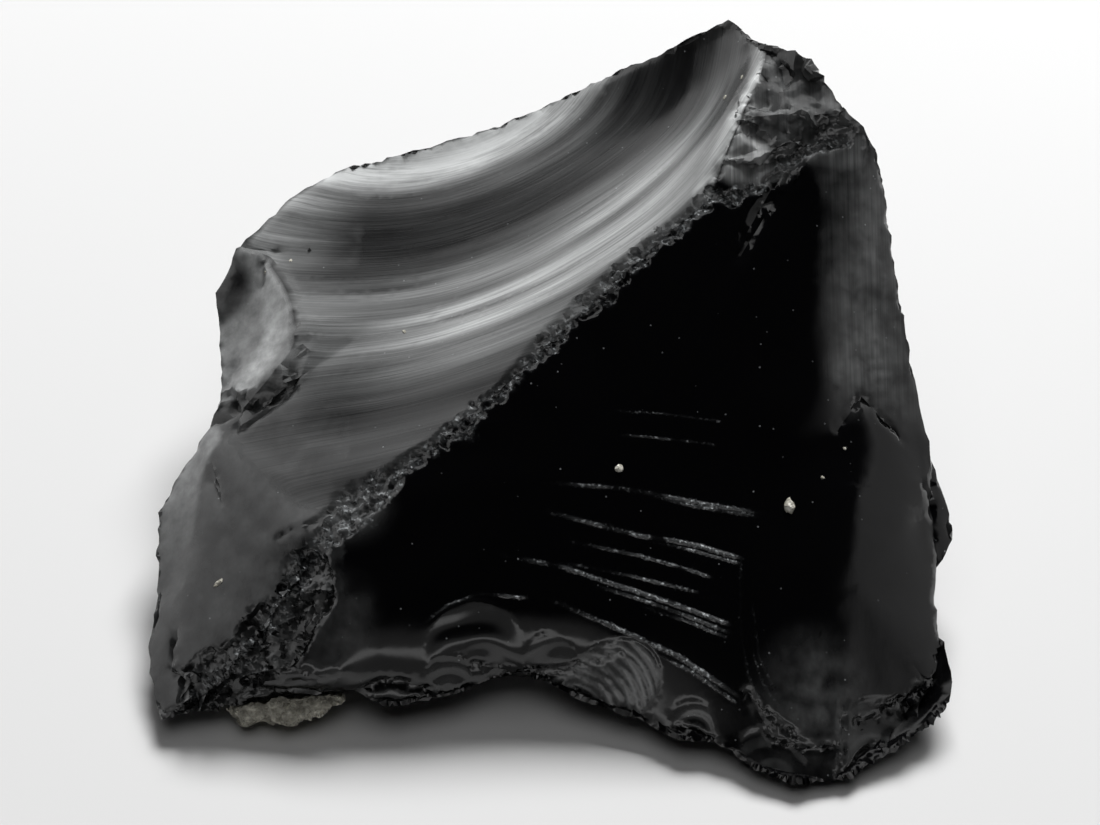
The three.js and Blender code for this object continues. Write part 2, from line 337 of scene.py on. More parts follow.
def calculate(
    tree: bpy.types.NodeTree,
    operation: str,
    first: bpy.types.NodeSocket,
    second: bpy.types.NodeSocket | float,
    clamp: bool = False,
) -> bpy.types.NodeSocket:
    """Combine two numbers.

    Args:
        tree: Node tree to add to.
        operation: Blender's name for the operation.
        first: First number.
        second: Second number.
        clamp: Whether the result is kept between 0 and 1.

    Returns:
        The result.
    """
    settings = {"operation": operation, "use_clamp": clamp}
    return add_node(tree, "ShaderNodeMath", settings, {0: first, 1: second}).outputs[0]


def ramp_stops(node: bpy.types.Node, stops: Sequence[tuple[float, str]]) -> None:
    """Set the stops of a Color Ramp node.

    Args:
        node: The Color Ramp node.
        stops: Position and sRGB hex code of each stop, in order.
    """
    elements = node.color_ramp.elements
    while len(elements) < len(stops):
        elements.new(1.0)
    for element, (position, code) in zip(elements, stops):
        element.position = position
        element.color = colour(code)


def new_material(name: str) -> tuple[bpy.types.Material, bpy.types.NodeTree, bpy.types.Node]:
    """Make an empty Principled material.

    Args:
        name: Name of the material.

    Returns:
        The material, its node tree and its Principled node.
    """
    material = bpy.data.materials.new(name)
    material.use_nodes = True
    tree = material.node_tree
    return material, tree, tree.nodes["Principled BSDF"]


@dataclass(frozen=True)
class VolcanicGlass:
    """Freshly broken obsidian: near-black glass, glossy, with a painted sheen where ripples run, white where
    crushed, with painted glints.

    Attributes:
        body: Colour of the solid glass.
        painted_sheen: Colour of the painted sheen, which stands in for the reflections of the rippled glass.
        crushed: Colour of glass crushed fine along ridges and hackles, also the colour of the glints painted
            on it.
        gloss: Roughness of a clean break.
        satin: Roughness of the rippled scars.
    """

    body: str = "#050506"
    painted_sheen: str = "#c8caca"
    crushed: str = "#b4b8ba"
    gloss: float = 0.10
    satin: float = 0.24

    def material(self) -> bpy.types.Material:
        """Build the material from the mesh's attributes for crushed glass with painted glints, satin,
        painted sheen and streak course.
        """
        material, tree, shader = new_material("obsidian")
        frost_and_glints, satin, painted_sheen, flow = (
            add_node(tree, "ShaderNodeAttribute", {"attribute_name": name}).outputs
            for name in ("frost_and_glints", "satin", "painted_sheen", "flow")
        )
        place = add_node(tree, "ShaderNodeTexCoord").outputs["Object"]

        # streaks about 0.4 mm wide that run along the ripples, in the painted sheen and in the bump
        streaks = add_node(
            tree,
            "ShaderNodeTexNoise",
            inputs={"Vector": flow["Vector"], "Scale": 1.0, "Detail": 4.0, "Roughness": 0.6},
        ).outputs["Fac"]
        streak_tone = remap(tree, streaks, (0.32, 0.68), (0.62, 1.28))
        # painted sheen: reflections of the ripples, painted as a pale colour over the black glass
        painted_shine = calculate(tree, "MULTIPLY", painted_sheen["Fac"], streak_tone, clamp=True)
        sheen = add_node(
            tree,
            "ShaderNodeMix",
            {"data_type": "RGBA"},
            {0: painted_shine, 6: colour(self.body), 7: colour(self.painted_sheen)},
        ).outputs[2]

        # crushed glass in grains of 0.7 mm and finer, whose brightest grains are painted glints, with dust
        # specks of 0.25 mm strewn over all of it
        grain = add_node(
            tree, "ShaderNodeTexNoise", inputs={"Vector": place, "Scale": 1500.0, "Detail": 3.0}
        ).outputs["Fac"]
        powder_and_glints = calculate(tree, "MULTIPLY", frost_and_glints["Fac"], remap(tree, grain, (0.54, 0.66), (0.1, 1.0)))
        spots = add_node(tree, "ShaderNodeTexVoronoi", inputs={"Vector": place, "Scale": 620.0}).outputs
        small = remap(tree, spots["Distance"], (0.05, 0.11), (1.0, 0.0))
        few = remap(tree, spots["Color"], (0.62, 0.85))
        dust = calculate(tree, "MULTIPLY", calculate(tree, "MULTIPLY", small, few), 0.4)
        pale = calculate(tree, "MAXIMUM", powder_and_glints, dust, clamp=True)
        tint = add_node(
            tree, "ShaderNodeMix", {"data_type": "RGBA"}, {0: pale, 6: sheen, 7: colour(self.crushed)}
        ).outputs[2]
        tree.links.new(tint, shader.inputs["Base Color"])
        rough = remap(tree, satin["Fac"], (0.0, 1.0), (self.gloss, self.satin))
        tree.links.new(rough, shader.inputs["Roughness"])

        streak_height = calculate(tree, "MULTIPLY", streaks, satin["Fac"])
        combed = add_node(
            tree,
            "ShaderNodeBump",
            inputs={"Strength": 0.4, "Distance": 0.00012, "Height": streak_height},
        ).outputs["Normal"]
        grit = add_node(
            tree, "ShaderNodeTexNoise", inputs={"Vector": place, "Scale": 1900.0, "Detail": 3.0}
        ).outputs["Fac"]
        grit_height = calculate(tree, "MULTIPLY", grit, frost_and_glints["Fac"])
        gritty = add_node(
            tree,
            "ShaderNodeBump",
            inputs={"Strength": 0.6, "Distance": 0.0003, "Height": grit_height, "Normal": combed},
        ).outputs["Normal"]
        tree.links.new(gritty, shader.inputs["Normal"])
        shader.inputs["IOR"].default_value = 1.5
        return material


@dataclass(frozen=True)
class MineralCrust:
    """Rough, dry, granular mineral left by weathering.

    Attributes:
        pale: Colour of the clean grains.
        dull: Colour of the dirty hollows.
    """

    pale: str = "#d9d6c9"
    dull: str = "#6f6c62"

    def material(self) -> bpy.types.Material:
        """Build the material on Object coordinates."""
        material, tree, shader = new_material("mineral_crust")
        place = add_node(tree, "ShaderNodeTexCoord")
        blotch = add_node(
            tree,
            "ShaderNodeTexNoise",
            inputs={"Vector": place.outputs["Object"], "Scale": 700.0, "Detail": 5.0, "Roughness": 0.65},
        )
        shade = add_node(tree, "ShaderNodeValToRGB", inputs={"Fac": blotch.outputs["Fac"]})
        ramp_stops(shade, [(0.34, self.dull), (0.5, "#a5a296"), (0.66, self.pale)])
        tree.links.new(shade.outputs["Color"], shader.inputs["Base Color"])
        grains = add_node(
            tree,
            "ShaderNodeTexVoronoi",
            inputs={"Vector": place.outputs["Object"], "Scale": 1800.0},
        )
        bump = add_node(
            tree,
            "ShaderNodeBump",
            inputs={"Strength": 0.8, "Distance": 0.0003, "Height": grains.outputs["Distance"]},
        )
        tree.links.new(bump.outputs["Normal"], shader.inputs["Normal"])
        shader.inputs["Roughness"].default_value = 0.85
        return material


@dataclass(frozen=True)
class FloorPaper:
    """Plain matt pale surface.

    Attributes:
        shade: Colour of the surface.
    """

    shade: str = "#dadada"

    def material(self) -> bpy.types.Material:
        """Build the plain material."""
        material, _, shader = new_material("floor_paper")
        shader.inputs["Base Color"].default_value = colour(self.shade)
        shader.inputs["Roughness"].default_value = 0.9
        shader.inputs["Specular IOR Level"].default_value = 0.1
        return material


# ------------------------------------------------------------------ copies of the plain solids
def copy_solid(solid: str, name: str) -> bpy.types.Object:
    """Copy a plain solid and merge its loose triangles.

    Args:
        solid: Name of the solid's node.
        name: Name of the copy.

    Returns:
        The copy, selected and active.
    """
    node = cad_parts[solid]
    piece = node.copy()
    piece.data = node.data.copy()
    piece.name = name
    piece.parent = None
    piece.matrix_world = node.matrix_world.copy()
    bpy.context.scene.collection.objects.link(piece)
    bpy.ops.object.select_all(action="DESELECT")
    piece.select_set(True)
    bpy.context.view_layer.objects.active = piece
    bpy.ops.object.mode_set(mode="EDIT")
    bpy.ops.mesh.select_all(action="SELECT")
    bpy.ops.mesh.remove_doubles(threshold=MERGE_GAP * MM)
    bpy.ops.mesh.customdata_custom_splitnormals_clear()
    bpy.ops.object.mode_set(mode="OBJECT")
    return piece


# ------------------------------------------------------------------ the obsidian
class Edge(Enum):
    """Lines of the broken glass, in mm in the row frame."""

    CREST = (
        (-56.0, -46.0, 3.0), (-49.5, -44.0, 7.5), (-44.5, -40.5, 10.5), (-39.5, -34.5, 14.5),
        (-34.5, -28.0, 18.0), (-28.5, -22.5, 23.0), (-18.0, -15.0, 26.5), (-7.0, -6.5, 31.5),
        (1.0, 1.0, 35.0), (10.0, 8.5, 39.5), (19.0, 16.0, 43.0), (23.5, 20.0, 45.5),
    )
    BROW = (
        (23.5, 20.0, 45.5), (26.5, 19.5, 45.0), (31.5, 21.5, 46.0), (36.0, 25.0, 47.5),
        (39.5, 27.0, 49.0), (44.0, 27.5, 49.5),
    )
    TIP = ((-50.0, -42.5, 6.0), (-44.0, -40.5, 8.5), (-38.0, -36.0, 12.0), (-34.5, -31.0, 15.5))
    LEDGE = ((23.5, 20.0, 45.5), (25.5, 24.5, 48.0), (28.5, 31.5, 51.0))
    FLANK = ((39.5, 27.0, 49.0), (38.5, 14.0, 41.3), (38.0, 0.5, 33.5), (37.5, -10.0, 27.5),
             (35.0, -17.5, 23.2))
    OVAL = ((40.5, -13.0, 25.2), (35.0, -17.5, 23.2), (30.5, -22.5, 20.5), (28.0, -26.0, 18.8),
            (27.0, -29.0, 17.0), (26.5, -38.5, 11.7), (27.5, -45.0, 8.0))
    CREASE = ((-48.5, -5.0, 18.0), (-43.5, -12.0, 19.0), (-38.5, -18.0, 19.5), (-33.0, -22.5, 20.8),
              (-28.5, -22.5, 23.0))
    ROLL = ((-28.5, -22.5, 23.0), (-28.0, -30.5, 18.2), (-28.5, -39.5, 13.0), (-28.5, -42.0, 11.0))
    APRON = ((-28.5, -42.0, 11.0), (-17.5, -41.0, 11.5), (-5.0, -40.0, 11.7), (9.5, -40.5, 11.0),
             (16.0, -43.5, 9.0), (23.0, -46.0, 7.5), (27.5, -45.0, 8.0))
    BITE = ((-53.0, 23.5), (-52.5, 19.0), (-51.5, 13.5), (-51.0, 8.5), (-51.0, 3.0), (-43.0, 3.0),
            (-39.5, 7.0), (-39.5, 13.5), (-41.5, 20.5), (-45.5, 28.5), (-49.5, 30.5))
    HOLLOW = (
        (-28.5, -22.5), (-18.0, -15.0), (-7.0, -6.5), (1.0, 1.0), (10.0, 8.5), (19.0, 16.0),
        (23.5, 20.0), (25.5, 24.5), (28.5, 31.5), (31.5, 38.0), (33.0, 47.0), (30.5, 50.0),
        (29.5, 54.5), (27.5, 56.5), (17.0, 53.5), (7.5, 51.0), (1.0, 48.5), (-8.5, 45.5),
        (-19.5, 43.5), (-32.5, 43.5), (-37.0, 41.5), (-42.5, 38.0), (-46.0, 34.5), (-49.5, 30.5),
        (-45.5, 28.5), (-41.5, 20.5), (-39.5, 13.5), (-39.5, 7.0), (-43.0, 3.0), (-40.5, 1.0),
        (-45.5, -1.5), (-48.5, -5.0), (-43.5, -12.0), (-38.5, -18.0), (-33.0, -22.5),
    )


SOFT_LINES = (Edge.FLANK, Edge.OVAL, Edge.CREASE, Edge.ROLL, Edge.APRON)


@dataclass(frozen=True)
class FlakeScar:
    """A shell-shaped scar that a small flake left on the sloping front.

    Attributes:
        strike: Where the flake was struck off, in mm.
        heading: Way that it ran up the slope in degrees, 0 to the right and 90 inward.
        long: Length of the scar in mm.
        wide: Width of the scar in mm.
        depth: Depth of the scar in mm.
        ring: Spacing of its ripples in mm.
        painted_shine: How strong the painted sheen of its ripples is.
    """

    strike: tuple[float, float, float]
    heading: float
    long: float
    wide: float
    depth: float
    ring: float
    painted_shine: float

    def room(self, points: np.ndarray) -> np.ndarray:
        """How far inside the scar's outline each point lies, below 0 outside and 1 at its middle.

        Args:
            points: Points in mm.

        Returns:
            The share at each point.
        """
        turn = math.radians(self.heading)
        right = np.array((1.0, 0.0, 0.0))
        inward = np.array((0.0, 0.66, 0.75))
        offset = points - np.array(self.strike)
        off_plane = np.abs(offset @ np.array((0.0, -0.75, 0.66)))
        ahead = offset @ (math.cos(turn) * right + math.sin(turn) * inward) / self.long
        across = offset @ (math.cos(turn) * inward - math.sin(turn) * right) / (0.5 * self.wide)
        beyond = np.maximum(0.0, 2.0 * ahead - 1.0)
        share = 1.0 - (beyond**2 + across**2)
        return np.where((ahead > -0.25) & (off_plane < 5.0), share, -1.0)

    def cut(self, points: np.ndarray) -> tuple[np.ndarray, np.ndarray]:
        """Cut the scar.

        Args:
            points: Points in mm.

        Returns:
            Depth at each point, and the painted sheen of its ripples there, from 0 to 1.
        """
        share = self.room(points)
        wall = np.clip(share / 0.10, 0.0, 1.0)
        reach = np.linalg.norm(points - np.array(self.strike), axis=1)
        uneven = reach + 0.25 * self.ring * Noise(int(10 * self.long), 5.0).at(points)
        rings = 0.5 - 0.5 * np.cos(2.0 * math.pi * uneven / self.ring)
        depth = self.depth * wall * (0.25 + 0.75 * np.clip(share, 0.0, 1.0))
        depth = depth - 0.05 * self.ring * rings * wall
        return depth, wall * (0.2 + 0.8 * smooth_step(0.4, 0.9, rings)) * smooth_step(0.0, 0.4, share)


@dataclass
class ObsidianChunk:
    """The lump of volcanic glass, made from a copy of its solid.

    Attributes:
        cell: Edge length of the mesh that the scars are smoothed on, in mm.
        sharp_angle: Break of the surface, in degrees, from which an edge stays sharp.
        strike: The point outside the back edge from which the hollow's ripples spread.
        swell_slope: Steepest slope of the hollow's broad swells.
        ripples: Length in mm, steepest slope and phase of each train of finer ripples.
        scars: The small scars of the front edge, the last struck last.
    """

    cell: float = 1.15
    sharp_angle: float = 24.0
    strike: tuple[float, float, float] = (-16.5, 65.0, 37.5)
    swell_slope: float = 0.15
    ripples: tuple[tuple[float, float, float], ...] = (
        (9.0, 0.050, 2.0), (5.3, 0.055, 0.4), (3.3, 0.045, 1.1), (2.1, 0.030, 0.0),
    )
    scars: tuple[FlakeScar, ...] = (
        FlakeScar((-23.0, -46.0, 4.0), 90.0, 6.0, 7.0, 0.45, 2.4, 0.10),
        FlakeScar((-10.5, -44.0, 4.5), 96.0, 15.0, 14.5, 0.35, 6.0, 0.03),
        FlakeScar((-15.0, -43.0, 5.5), 84.0, 5.5, 7.0, 0.35, 2.6, 0.10),
        FlakeScar((2.5, -43.5, 5.0), 118.0, 10.5, 8.0, 0.5, 3.4, 0.10),
        FlakeScar((8.5, -45.0, 4.5), 115.0, 6.0, 5.0, 0.40, 2.2, 0.12),
        FlakeScar((3.0, -44.5, 3.0), 38.0, 14.5, 12.0, 0.8, 1.40, 0.9),
        FlakeScar((20.0, -49.5, 3.5), 100.0, 5.5, 6.0, 0.45, 2.4, 0.10),
        FlakeScar((31.0, -54.5, 1.0), 92.0, 7.0, 10.0, 0.6, 3.6, 0.15),
        FlakeScar((45.5, -54.0, 1.0), 80.0, 11.0, 12.0, 0.6, 3.4, 0.20),
        FlakeScar((54.5, -45.0, 3.5), 120.0, 5.5, 5.0, 0.5, 2.0, 0.2),
    )
    finish: VolcanicGlass = VolcanicGlass()

    def build(self) -> bpy.types.Object:
        """Make the finished piece.

        Returns:
            The piece, which rides on the body and replaces its solid.
        """
        piece = self._copy_solid()
        self._split(piece, lambda points: np.full(len(points), self.cell))
        skin = Skin(piece.data)
        skin.relax_rims(5)
        skin.relax(160, 1.0 - skin.held())
        self._round_rolls(skin)
        self._round_hollow(skin)
        skin.give_back(piece.data)
        self._split(piece, self._target)
        skin = Skin(piece.data)
        skin.relax(30, 1.0 - skin.held())
        rims = skin.points[np.unique(skin.rims)]
        self._swell(skin)
        self._ripple_hollow(skin)
        side_sheen = self._ripple_sides(skin)
        scar_sheen = self._flake_front(skin)
        frost_and_glints = self._raise_hackles(skin)
        frost_and_glints = np.maximum(frost_and_glints, self._crush(skin, rims))
        skin.points[:, 2] = np.maximum(skin.points[:, 2], 0.0)
        skin.give_back(piece.data)
        self._paint(piece.data, skin, frost_and_glints, np.maximum(scar_sheen, 0.35 * side_sheen))
        piece.data.materials.clear()
        piece.data.materials.append(self.finish.material())
        bpy.ops.object.select_all(action="DESELECT")
        piece.select_set(True)
        bpy.context.view_layer.objects.active = piece
        bpy.ops.object.shade_smooth_by_angle(angle=math.radians(34.0))
        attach(piece, "root")
        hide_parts("obsidian_chunk")
        LOG.info("obsidian: %d triangles", len(skin.triangles))
        return piece

    def _copy_solid(self) -> bpy.types.Object:
        """Copy the solid, merge its loose triangles and mark the edges that stay sharp."""
        piece = copy_solid("obsidian_chunk", "obsidian_glass")
        form = bmesh.new()
        form.from_mesh(piece.data)
        middles = np.array([(e.verts[0].co + e.verts[1].co)[:] for e in form.edges]) / (2.0 * MM)
        soft = np.min([line_distance(middles, line.value)[0] for line in SOFT_LINES], axis=0)
        outline = Edge.HOLLOW.value
        within = inside(middles, outline) & (line_distance(middles, outline + outline[:1])[0] > 1.5)
        limit = math.radians(self.sharp_angle)
        for edge, middle, gap, in_hollow in zip(form.edges, middles, soft, within):
            in_hollow = in_hollow and middle[2] > 19.0
            edge.smooth = not (edge.calc_face_angle(0.0) > limit and gap > 1.6) or in_hollow
        form.to_mesh(piece.data)
        form.free()
        return piece

    def _target(self, points: np.ndarray) -> np.ndarray:
        """Edge length wanted at each point, in mm."""
        crushed = np.min(
            [line_distance(points, line.value)[0] for line in (Edge.CREST, Edge.BROW, Edge.LEDGE)], axis=0
        )
        top = points[:, 2] > 6.0 + 0.42 * (points[:, 1] + 46.0)
        size = np.where(top, 0.80, 1.6)
        scarred = np.max([scar.room(points) for scar in self.scars], axis=0)
        size = np.where(scarred > 0.0, 0.42, size)
        tip = line_distance(points, Edge.TIP.value)[0]
        size = np.where((crushed < 2.6) | (tip < 5.5), 0.42, size)
        return np.where(top & (Hackles().gap(points) < 0.7), 0.30, size)

    def _split(self, piece: bpy.types.Object, wanted: Callable[[np.ndarray], np.ndarray]) -> None:
        """Split long edges until the mesh is as fine as wanted, and drop faces left back to back.

        Args:
            piece: The piece to split.
            wanted: Gives the edge length wanted at points in mm.
        """
        form = bmesh.new()
        form.from_mesh(piece.data)
        for _ in range(5):
            ends = np.array([v.co[:] for edge in form.edges for v in edge.verts]).reshape(-1, 2, 3) / MM
            lengths = np.linalg.norm(ends[:, 0] - ends[:, 1], axis=1)
            split = lengths > 1.38 * wanted(ends.mean(axis=1))
            chosen = [edge for edge, far in zip(form.edges, split) if far]
            if not chosen:
                break
            bmesh.ops.subdivide_edges(form, edges=chosen, cuts=1)
            bmesh.ops.triangulate(form, faces=[f for f in form.faces if len(f.verts) > 3])
            even = [e for e in form.edges if e.smooth and e.calc_face_angle(0.0) < 0.12]
            bmesh.ops.beautify_fill(form, faces=form.faces[:], edges=even, method="ANGLE")
            seen: dict[frozenset[bmesh.types.BMVert], bmesh.types.BMFace] = {}
            flaps: list[bmesh.types.BMFace] = []
            for face in form.faces:
                twin = seen.setdefault(frozenset(face.verts), face)
                if twin is not face:
                    flaps += [face, twin]
            LOG.info("%s: %d faces back to back", piece.name, len(flaps))
            bmesh.ops.delete(form, geom=flaps, context="FACES")
        form.to_mesh(piece.data)
        form.free()

    def _round_rolls(self, skin: Skin) -> None:
        """Round the places where one scar rolls over into the next.

        Args:
            skin: The mesh.
        """
        gap = np.min([line_distance(skin.points, line.value)[0] for line in SOFT_LINES], axis=0)
        skin.relax(70, (1.0 - skin.held()) * smooth_step(8.0, 3.0, gap), back=0.0)

    def _round_hollow(self, skin: Skin) -> None:
        """Lay the hollow on one smooth bowl that still meets its rims.

        Args:
            skin: The mesh.
        """
        outline = Edge.HOLLOW.value
        for _ in range(2):
            gap, _ = line_distance(skin.points, outline + outline[:1])
            within = inside(skin.points, outline) & (skin.points[:, 2] > 18.0)
            within &= (skin.normals()[:, 2] > 0.1) | (gap > 9.0)
            x, y, z = (skin.points[within] / 50.0).T
            terms = np.stack([x**i * y**j for i in range(6) for j in range(6 - i)], axis=1)
            bowl = terms @ np.linalg.lstsq(terms, z, rcond=None)[0]
            close = smooth_step(0.14, 0.08, np.abs(bowl - z))
            skin.points[within, 2] += smooth_step(0.5, 7.0, gap[within]) * close * (bowl - z) * 50.0
            skin.relax(60, (1.0 - skin.held()) * within * smooth_step(0.5, 4.0, gap), back=0.0)

    def _swell(self, skin: Skin) -> None:
        """Give every scar the slight unevenness of broken glass.

        Args:
            skin: The mesh.
        """
        lifted = smooth_step(0.2, 3.0, skin.points[:, 2])
        wave = 0.10 * Noise(3, 17.0).at(skin.points) + 0.014 * Noise(4, 5.0).at(skin.points)
        oval = smooth_step(26.0, 36.0, skin.points[:, 0]) * smooth_step(2.0, -8.0, skin.points[:, 1])
        wave += 0.42 * oval * Noise(5, 10.0).at(skin.points)
        skin.push(wave * lifted)

    def _hollow_polar(self, points: np.ndarray) -> tuple[np.ndarray, np.ndarray]:
        """Distance from the strike point and turn round it, as the hollow's ripples run.

        Args:
            points: Points in mm.

        Returns:
            Distance in mm, corrected for the way the ripples open to the left, and angle in radians.
        """
        offset = points - np.array(self.strike)
        across = offset @ np.array((0.953, -0.041, 0.300))
        up = offset @ np.array((0.0, 0.9905, 0.1353))
        reach = np.hypot(across, up)
        opened = np.maximum(0.0, 8.0 - across)
        return reach - 0.0045 * opened**2, np.arctan2(-up, across)

    def _hollow_mask(self, skin: Skin, border: float) -> np.ndarray:
        """1 inside the hollow, falling to 0 at its border.

        Args:
            skin: The mesh.
            border: Width in mm over which it falls.

        Returns:
            The mask of each vertex.
        """
        outline = Edge.HOLLOW.value
        gap, _ = line_distance(skin.points, outline + outline[:1])
        within = inside(skin.points, outline) & (skin.normals()[:, 2] > 0.3)
        return np.where(within, smooth_step(0.0, border, gap), 0.0)

    def _ripple_hollow(self, skin: Skin) -> None:
        """Press the conchoidal ripples into the hollow.

        Args:
            skin: The mesh.
        """
        mask = self._hollow_mask(skin, 2.0)
        reach, _ = self._hollow_polar(skin.points)
        reach = reach + 0.5 * Noise(8, 15.0).at(skin.points)
        radii = np.linspace(0.0, 110.0, 2201)
        turns = (7.0, 17.0, 27.0, 36.0, 54.0, 70.0, 77.0, 86.0, 105.0)
        swing = np.interp(radii, turns, np.arange(-2, 7)) * math.pi
        slope = self.swell_slope * np.cos(swing)
        slope -= slope[(radii > 18.0) & (radii < 74.0)].mean()
        swells = np.cumsum(slope) * (radii[1] - radii[0])
        height = np.interp(reach, radii, swells - swells[(radii > 18.0) & (radii < 74.0)].mean())
        for length, steep, phase in self.ripples:
            wobble = 0.75 + 0.6 * Noise(int(length * 10), 13.0).at(skin.points)
            depth = steep * length / (2.0 * math.pi)
            height += depth * wobble * np.sin(2.0 * math.pi * reach / length + phase)
        skin.push(height * mask)

    def _ripple_sides(self, skin: Skin) -> np.ndarray:
        """Add fainter ripples to the hidden scars and the right edge.

        Args:
            skin: The mesh.

        Returns:
            The painted sheen of the ripples at each vertex, from 0 to 1.
        """
        normals = skin.normals()
        lifted = smooth_step(0.3, 4.0, skin.points[:, 2])
        down = smooth_step(0.35, -0.1, normals[:, 2]) * lifted
        height = np.zeros(len(skin.points))
        sheen = np.zeros(len(skin.points))
        for centre, length, depth in (
            ((-48.0, 54.0, 30.0), 7.5, 0.22), ((34.0, 62.0, 48.0), 9.0, 0.26),
            ((66.0, 20.0, 34.0), 8.0, 0.22), ((-66.0, -16.0, 12.0), 6.0, 0.14),
        ):
            gap = np.linalg.norm(skin.points - np.array(centre), axis=1)
            gap = gap + 0.8 * Noise(9, 12.0).at(skin.points)
            near = smooth_step(62.0, 18.0, gap)
            wave = np.sin(2.0 * math.pi * gap / length)
            height += depth * near * wave
            sheen = np.maximum(sheen, near * (0.35 + 0.65 * smooth_step(-0.2, 1.0, wave)))
        skin.push(height * down)
        gap = np.linalg.norm(skin.points - np.array((53.0, -16.0, 24.0)), axis=1)
        edge = ((48.5, -2.0, 31.0), (52.0, -7.0, 28.5), (55.0, -14.0, 24.0))
        beside, _ = line_distance(skin.points, edge)
        near = smooth_step(5.5, 2.5, beside) * (normals[:, 2] > 0.1)
        skin.push(0.07 * near * np.sin(2.0 * math.pi * gap / 1.9))
        return sheen * down

    def _flake_front(self, skin: Skin) -> np.ndarray:
        """Cut the small flake scars along the front edge and the right foot, each over the last.

        Args:
            skin: The mesh.

        Returns:
            The painted sheen of the scars' ripples at each vertex, from 0 to 1.
        """
        upward = skin.normals()[:, 2] > 0.1
        lifted = smooth_step(0.2, 1.2, skin.points[:, 2])
        depth = np.zeros(len(skin.points))
        painted_shine = np.zeros(len(skin.points))
        for scar in self.scars:
            within = scar.room(skin.points) > 0.0
            cut, sheen = scar.cut(skin.points)
            depth = np.where(within, np.maximum(0.4 * depth + cut, cut), depth)
            painted_shine = np.where(within, sheen * scar.painted_shine, painted_shine)
        skin.push(np.where(upward, -depth, 0.0) * lifted)
        return np.where(upward, painted_shine, 0.0)

    def _raise_hackles(self, skin: Skin) -> np.ndarray:
        """Raise the long splintered hackle lines of the dark face.

        Args:
            skin: The mesh.

        Returns:
            How crushed the glass is at each vertex, from 0 to 1, which also sets where the material paints
            glints.
        """
        upward = skin.normals()[:, 2] > 0.4
        frost_and_glints = np.zeros(len(skin.points))
        height = np.zeros(len(skin.points))
        for line, width, tall in Hackles().lines:
            gap, along = line_distance(skin.points, line)
            total = sum(math.dist(a, b) for a, b in zip(line[:-1], line[1:]))
            taper = smooth_step(0.0, 0.5 * total, along) * smooth_step(total, 0.93 * total, along)
            crest = smooth_step(width, 0.15 * width, gap) * taper
            torn = np.clip(0.6 + 1.0 * fractal(skin.points, 31, 3.0, 2), 0.05, 1.0)
            height = np.maximum(height, 0.5 * tall * crest * torn)
            frost_and_glints = np.maximum(frost_and_glints, 15.0 * tall * crest * torn)
        skin.push(np.where(upward, height, 0.0))
        return np.where(upward, frost_and_glints, 0.0)

    def _crush(self, skin: Skin, rims: np.ndarray) -> np.ndarray:
        """Break the ridges into small flakes and chip the thin rims.

        Args:
            skin: The mesh.
            rims: Points on the sharp rims.

        Returns:
            How crushed the glass is at each vertex, from 0 to 1, which also sets where the material paints
            glints.
        """
        points = skin.points
        crest, along = line_distance(points, Edge.CREST.value)
        upper = np.minimum(
            line_distance(points, Edge.BROW.value)[0], line_distance(points, Edge.LEDGE.value)[0] + 0.8
        )
        tip, _ = line_distance(points, Edge.TIP.value)
        uneven = 0.9 * Noise(41, 4.5).at(points) + 0.7 * Noise(42, 1.7).at(points)
        splinters = Noise(44, 1.0).at(np.stack([along / 0.8, 0.25 * crest, np.zeros(len(points))], axis=1))
        bend = np.linalg.norm(points - np.array((-28.0, -22.6, 22.4)), axis=1)
        wide = 1.1 + 1.0 * uneven + 0.7 * splinters + 0.6 * smooth_step(45.0, 20.0, along)
        wide = np.maximum(0.35, wide) + 2.4 * smooth_step(9.0, 3.0, bend)
        band = smooth_step(0.5, -0.5, crest - wide)
        band *= smooth_step(0.0, 12.0, along)
        band = np.maximum(band, smooth_step(0.35, -0.35, upper - 0.9 - 0.8 * uneven))
        chipped = smooth_step(0.5, -0.5, tip - 4.2 - 1.4 * uneven)
        tree = KDTree(len(rims))
        for i, point in enumerate(rims):
            tree.insert(Vector(point), i)
        tree.balance()
        edge_gap = np.array([tree.find(Vector(point))[2] for point in points])
        nibble = smooth_step(1.2, 0.1, edge_gap) * (points[:, 2] > 0.8)
        peak = np.linalg.norm((points - np.array((37.0, 33.0, 51.0))) * np.array((0.9, 1.0, 1.6)), axis=1)
        chipped = np.maximum(chipped, 0.55 * smooth_step(10.0, 8.0, peak) * (points[:, 2] > 46.0))
        step = line_distance(points, ((-51.0, 3.0), (-45.5, 1.0), (-41.0, 2.5), (-38.5, 7.5)))[0]
        chipped = np.maximum(chipped, 0.6 * smooth_step(2.4, 1.4, step) * (points[:, 2] > 14.0))
        for seed, size, coarse, fine, rim in (
            (4, 4.6, 1.10, 0.10, 0.22), (5, 2.1, 0.45, 0.34, 0.30), (6, 1.05, 0.10, 0.22, 0.12),
            (7, 0.6, 0.0, 0.12, 0.0),
        ):
            strength = np.maximum(np.maximum(coarse * chipped, fine * band), rim * nibble)
            busy = np.flatnonzero(strength > 0.01)
            height = np.zeros(len(points))
            height[busy] = -strength[busy] * Flakes(seed, size).cut(points[busy])
            skin.push(height)
        worn = np.clip(0.35 + 0.75 * Noise(43, 0.9).at(points), 0.0, 1.0)
        return np.maximum(1.1 * band * np.clip(0.45 + along / 60.0, 0.0, 1.0), 0.12 * chipped) * worn

